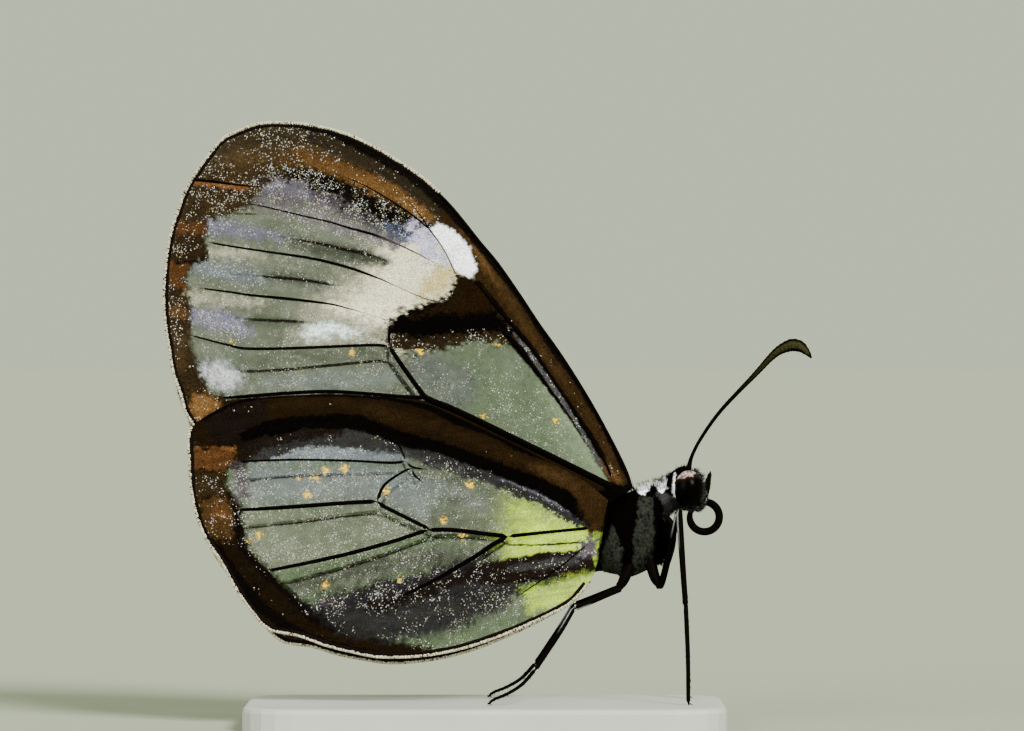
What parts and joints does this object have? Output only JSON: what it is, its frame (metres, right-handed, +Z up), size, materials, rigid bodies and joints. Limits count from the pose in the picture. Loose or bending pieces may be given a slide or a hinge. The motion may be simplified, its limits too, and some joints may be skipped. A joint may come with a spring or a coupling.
{
  "type": "clearwing butterfly pteronymia andreas",
  "caption": "Life-size clearwing butterfly standing on a plain base, wings closed over its back, feelers forward and tongue coiled.",
  "frame": {"origin": "centre of the base's underside", "axes": "+X the way the head points, +Z up, the animal's right side faces -Y"},
  "size_m": [0.0328, 0.013, 0.0303],
  "materials": {
    "body": "matt black scales with grey-white stripes",
    "eye": "smooth, glossy dark brown",
    "limb": "satin black",
    "wing": "clear membrane, dark scaled veins and borders",
    "base": "plain matt pale grey paint"
  },
  "bodies": {
    "root": {"head": "body", "thorax": "body", "abdomen": "body", "eye_right": "eye", "eye_left": "eye", "antenna_right": "limb", "antenna_left": "limb", "palp_right": "limb", "palp_left": "limb", "proboscis": "limb", "foreleg_right": "limb", "foreleg_left": "limb", "midleg_right": "limb", "midleg_left": "limb", "hindleg_right": "limb", "hindleg_left": "limb", "forewing_right": "wing", "forewing_left": "wing", "hindwing_right": "wing", "hindwing_left": "wing", "stand_base": "base"}
  },
  "joints": []
}
